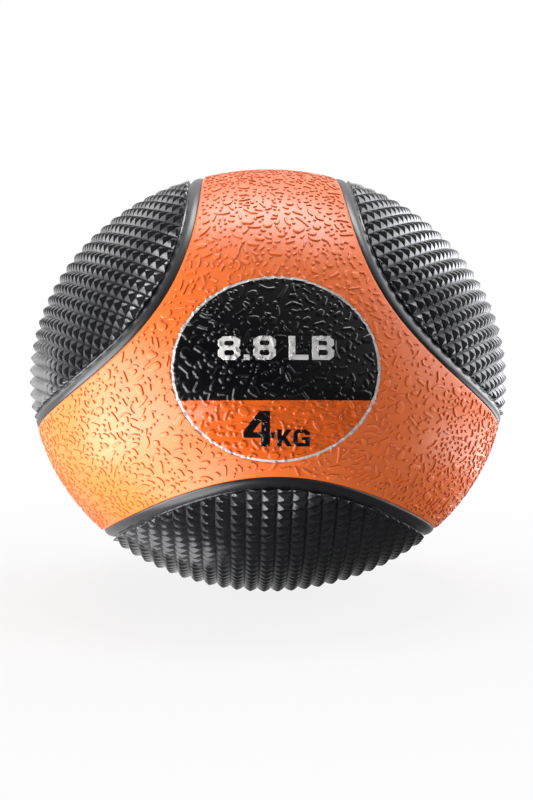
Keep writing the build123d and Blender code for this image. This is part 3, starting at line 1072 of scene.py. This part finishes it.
def mouldedRubber(name):
    look = finishes[name]
    material, tree, shader = newMaterial(name, look["main"], look["roughness"][0], look["specular"])
    mottled = mixColours(tree, patches(tree, *wear["deepPatches"]), look["main"], look["deep"])
    specked = mixColours(tree, patches(tree, *wear["wornSpecks"]), mottled, look["worn"])
    raised = storedValue(tree, "relief")
    tops = addMath(tree, "MULTIPLY", raised, patches(tree, *wear["wornTops"]))
    lightTops = mixColours(tree, tops, specked, look["worn"])
    # painted shade: darker colour on the sides of the drops and pyramids, half way up their relief
    sideShadeMask = addMath(tree, "MULTIPLY", raised, addMath(tree, "SUBTRACT", 1.0, raised))
    paintedShade = rangeOf(tree, sideShadeMask, 0.0, wear["paintedSideShade"], 0.02, 0.25)
    sides = tuple(c * wear["paintedSideShadeColour"] for c in look["deep"])
    tree.links.new(mixColours(tree, paintedShade, lightTops, sides), shader.inputs["Base Color"])
    sheen = rangeOf(tree, noiseAt(tree, wear["sheenScale"]), *look["roughness"])
    tree.links.new(sheen, shader.inputs["Roughness"])
    addBump(tree, shader, noiseAt(tree, look["grain"]), wear["grainStrength"], look["grainDepth"])
    return material


def paintRidgeWearAndHighlight(material):    # lighter where two sides of a pyramid meet, high up: wear and painted highlight
    tree = material.node_tree
    shader = tree.nodes["Principled BSDF"]
    sides = [addMath(tree, "PINGPONG", storedValue(tree, name), 0.5)
             for name in ("cellAcross", "cellAlong")]
    ridge = addMath(tree, "ABSOLUTE", addMath(tree, "SUBTRACT", *sides), 0.0)
    onRidge = rangeOf(tree, ridge, 0.85, 0.0, 0.0, 0.045)
    highUp = addMath(tree, "MULTIPLY", onRidge, rangeOf(tree, storedValue(tree, "relief"), 0.25, 1.0))
    base = shader.inputs["Base Color"].links[0].from_socket
    tree.links.new(mixColours(tree, highUp, base, wear["ridgeWearAndHighlightColour"]), shader.inputs["Base Color"])


def windingThread():        # nylon thread wound in crossing lays, sunk in rubber
    material, tree, shader = newMaterial("wound_nylon_thread", (0.60, 0.57, 0.50), 0.7, 0.3)
    place = addNode(tree, "ShaderNodeTexCoord")
    lays = []
    for direction, scale in (("X", 190.0), ("DIAGONAL", 210.0)):
        wave = addNode(tree, "ShaderNodeTexWave", Scale=scale, Distortion=3.0, Detail=2.0)
        wave.bands_direction = direction
        tree.links.new(place.outputs["Object"], wave.inputs["Vector"])
        lays.append(wave.outputs["Fac"])
    threads = addMath(tree, "MAXIMUM", *lays)
    colour = mixColours(tree, threads, (0.30, 0.27, 0.22), (0.66, 0.63, 0.56))
    colour = mixColours(tree, patches(tree, 60.0, 3.0, 0.5), colour, (0.50, 0.46, 0.38))
    tree.links.new(colour, shader.inputs["Base Color"])
    addBump(tree, shader, threads, 0.6, 0.15 * mm)
    return material


def hiddenRubber(name, dark, light, speckle, amount, roughness):    # plain compound with filler specks
    material, tree, shader = newMaterial(name, light, roughness, 0.35)
    place = addNode(tree, "ShaderNodeTexCoord")
    specks = addNode(tree, "ShaderNodeTexVoronoi", Scale=420.0)
    tree.links.new(place.outputs["Object"], specks.inputs["Vector"])
    spots = rangeOf(tree, specks.outputs["Distance"], amount, 0.0, 0.10, 0.28)
    body = mixColours(tree, noiseAt(tree, 45.0, 4.0), dark, light)
    tree.links.new(mixColours(tree, spots, body, speckle), shader.inputs["Base Color"])
    tree.links.new(rangeOf(tree, noiseAt(tree, 120.0), roughness - 0.08, roughness + 0.08),
                   shader.inputs["Roughness"])
    addBump(tree, shader, noiseAt(tree, 700.0), 0.4, 0.08 * mm)
    return material


bladderRubber = hiddenRubber("butyl_bladder_rubber", (0.012, 0.012, 0.013), (0.030, 0.029, 0.030),
                             (0.05, 0.05, 0.05), 0.2, 0.55)
weightRubber = hiddenRubber("mineral_filled_rubber", (0.030, 0.028, 0.026), (0.060, 0.056, 0.052),
                            (0.28, 0.26, 0.23), 0.8, 0.75)

looks = {name: mouldedRubber(name) for name in finishes}
paintRidgeWearAndHighlight(looks["black_grip_rubber"])
coveredBy = {
    "orange_cover_rubber": panels.values(),
    "black_grip_rubber": pads.values(),
    "black_band_rubber": bands.values(),
    "light_print_ink": [printRing, poundInk],
    "glossy_black_ink": [blackField, kilogramInk],
    "glossy_orange_ink": [orangeField],
    "black_valve_rubber": valvePieces,
}
for name, pieces in coveredBy.items():
    for piece in pieces:
        piece.data.materials.append(looks[name])
hiddenLooks = {"bladder": bladderRubber, "winding": windingThread(), "weight_shell_lower": weightRubber,
               "weight_shell_upper": weightRubber}
for node, material in hiddenLooks.items():
    mesh = frame["nodes"][node].data
    mesh.materials.clear()
    mesh.materials.append(material)
print("materials made")


# Camera, floor and light
view = {
    "distance": 5.5,            # in ball radii
    "elevation": 3.0,           # degrees
    "turn": 1.72,               # to the left of the front
    "lens": 57.6,
    "lower": 9.896 * mm,        # aim, under the ball's centre
    "left": 0.766 * mm,
}


def placeCamera():
    camera = bpy.data.objects.new("camera", bpy.data.cameras.new("camera"))
    bpy.context.scene.collection.objects.link(camera)
    bpy.context.scene.camera = camera
    camera.data.lens = view["lens"]
    camera.data.clip_end = 50
    turn, rise = math.radians(view["turn"]), math.radians(view["elevation"])
    back = Vector((-math.sin(turn) * math.cos(rise), -math.cos(turn) * math.cos(rise), math.sin(rise)))
    right = back.cross(Vector((0, 0, 1))) * -1
    right.normalize()
    up = back.cross(right)
    aim = Vector(ballCentre) - up * view["lower"] - right * view["left"]
    camera.location = aim + back * view["distance"] * coverRadius
    camera.rotation_euler = back.to_track_quat("Z", "Y").to_euler()


lights = {
    # position in metres from the ball's centre, size, watts, colour, and whether it lies on the floor
    "left_softbox": ((-1.00, -0.38, 0.10), (0.9, 0.36), 7.4, (1.0, 1.0, 1.0), False),
    "left_rear_softbox": ((-0.90, 0.50, 0.30), (0.6, 0.6), 2.2, (1.0, 1.0, 1.0), False),
    "top_softbox": ((0.05, 0.18, 1.10), (0.9, 0.45), 12.0, (1.0, 1.0, 1.0), False),
    "right_softbox": ((1.05, 0.20, 0.45), (1.5, 1.1), 13.0, (0.97, 0.98, 1.04), False),
    "right_rear_softbox": ((0.85, 0.65, 0.13), (1.0, 0.44), 3.4, (0.97, 0.98, 1.04), False),
    "table_glow": ((-0.44, -0.26, -0.10), (0.52, 0.44), 6.6, (1.0, 1.0, 1.0), True),
    "table_patch_left": ((-0.10, -0.135, -0.10), (0.13, 0.10), 0.19, (1.0, 1.0, 1.0), True),
    "table_patch_right": ((0.30, 0.05, -0.10), (0.20, 0.30), 0.7, (1.0, 1.0, 1.0), True),
}


def placeLights():
    for name, (place, size, power, colour, onFloor) in lights.items():
        lamp = bpy.data.lights.new(name, "AREA")
        lamp.shape = "RECTANGLE"
        lamp.size, lamp.size_y = size
        lamp.energy = power
        lamp.color = colour
        holder = bpy.data.objects.new(name, lamp)
        holder.location = Vector(ballCentre) + Vector(place)
        behind = Vector((0, 0, -1)) if onFloor else Vector(place)
        holder.rotation_euler = behind.to_track_quat("Z", "Y").to_euler()
        holder.visible_camera = False
        bpy.context.scene.collection.objects.link(holder)


room = {
    "ambientLow": (0.07, 0.07, 0.071),
    "ambientHigh": (0.27, 0.27, 0.274),
    # the room in reflections: the way from its dark front to its white back, where along it the
    # change starts and ends, and how bright the front is
    "seenWalls": ((0.5, 1.0, 0.15), (-1.0, 0.45), 0.04),
    "seenFloor": ((-0.6, 1.0, 0.0), (-0.06, 0.03), 0.12),
    "floorSize": 6.0,
    "floorColour": 0.50,
    "shadowShare": 0.14,
    "shadowReach": (0.10, 0.45),    # metres from the ball over which the shadow fades out
}


def seenWhite(tree, vector, facts):     # how white the room is in a reflection, by direction or place
    direction, reach, darkest = facts
    along = addNode(tree, "ShaderNodeVectorMath", operation="DOT_PRODUCT")
    tree.links.new(vector, along.inputs[0])
    along.inputs[1].default_value = direction
    return rangeOf(tree, along.outputs["Value"], darkest, 1.0, *reach)


def buildWorld():       # white to the camera, modest light on the ball, and a dark front in reflections
    world = bpy.data.worlds.new("studio")
    bpy.context.scene.world = world
    world.use_nodes = True
    tree = world.node_tree
    path = addNode(tree, "ShaderNodeLightPath")
    heading = addNode(tree, "ShaderNodeTexCoord")
    split = addNode(tree, "ShaderNodeSeparateXYZ")
    tree.links.new(heading.outputs["Generated"], split.inputs[0])
    reflected = seenWhite(tree, heading.outputs["Generated"], room["seenWalls"])
    upwards = rangeOf(tree, split.outputs["Z"], 0.0, 1.0, -0.2, 1.0)
    ambient = mixColours(tree, upwards, room["ambientLow"], room["ambientHigh"])
    glossy = mixColours(tree, path.outputs["Is Glossy Ray"], ambient, reflected)
    direct = addMath(tree, "MAXIMUM", path.outputs["Is Camera Ray"], path.outputs["Is Transmission Ray"])
    tree.links.new(mixColours(tree, direct, glossy, (1.0, 1.0, 1.0)),
                   tree.nodes["Background"].inputs["Color"])


def buildFloor():       # white to the camera, with the ball's soft shadow fading into it
    floorMesh = bpy.data.meshes.new("floor")
    half = room["floorSize"] / 2
    floorMesh.from_pydata([(-half, -half, 0), (half, -half, 0), (half, half, 0), (-half, half, 0)],
                          [], [(0, 1, 2, 3)])
    floor = bpy.data.objects.new("floor", floorMesh)
    bpy.context.scene.collection.objects.link(floor)
    material, tree, shader = newMaterial("pale_floor", (room["floorColour"],) * 3, 0.9, 0.1)
    place = addNode(tree, "ShaderNodeTexCoord")
    away = addNode(tree, "ShaderNodeVectorMath", operation="LENGTH")
    tree.links.new(place.outputs["Object"], away.inputs[0])
    shadow = rangeOf(tree, away.outputs["Value"], 1 - room["shadowShare"], 1.0, *room["shadowReach"])
    path = addNode(tree, "ShaderNodeLightPath")
    direct = addMath(tree, "MAXIMUM", path.outputs["Is Camera Ray"], path.outputs["Is Transmission Ray"])
    share = seenWhite(tree, place.outputs["Object"], room["seenFloor"])
    surface = shader.outputs[0]
    for factor, strength in ((addMath(tree, "MULTIPLY", direct, shadow), None),
                             (path.outputs["Is Glossy Ray"], share)):
        glow = addNode(tree, "ShaderNodeEmission", Color=(1, 1, 1, 1), Strength=1.0)
        if strength:
            tree.links.new(strength, glow.inputs["Strength"])
        mix = addNode(tree, "ShaderNodeMixShader")
        tree.links.new(factor, mix.inputs[0])
        tree.links.new(surface, mix.inputs[1])
        tree.links.new(glow.outputs[0], mix.inputs[2])
        surface = mix.outputs[0]
    tree.links.new(surface, tree.nodes["Material Output"].inputs["Surface"])
    floorMesh.materials.append(material)


placeCamera()
placeLights()
buildWorld()
buildFloor()
bpy.context.scene.view_settings.view_transform = "Standard"
print("studio set")
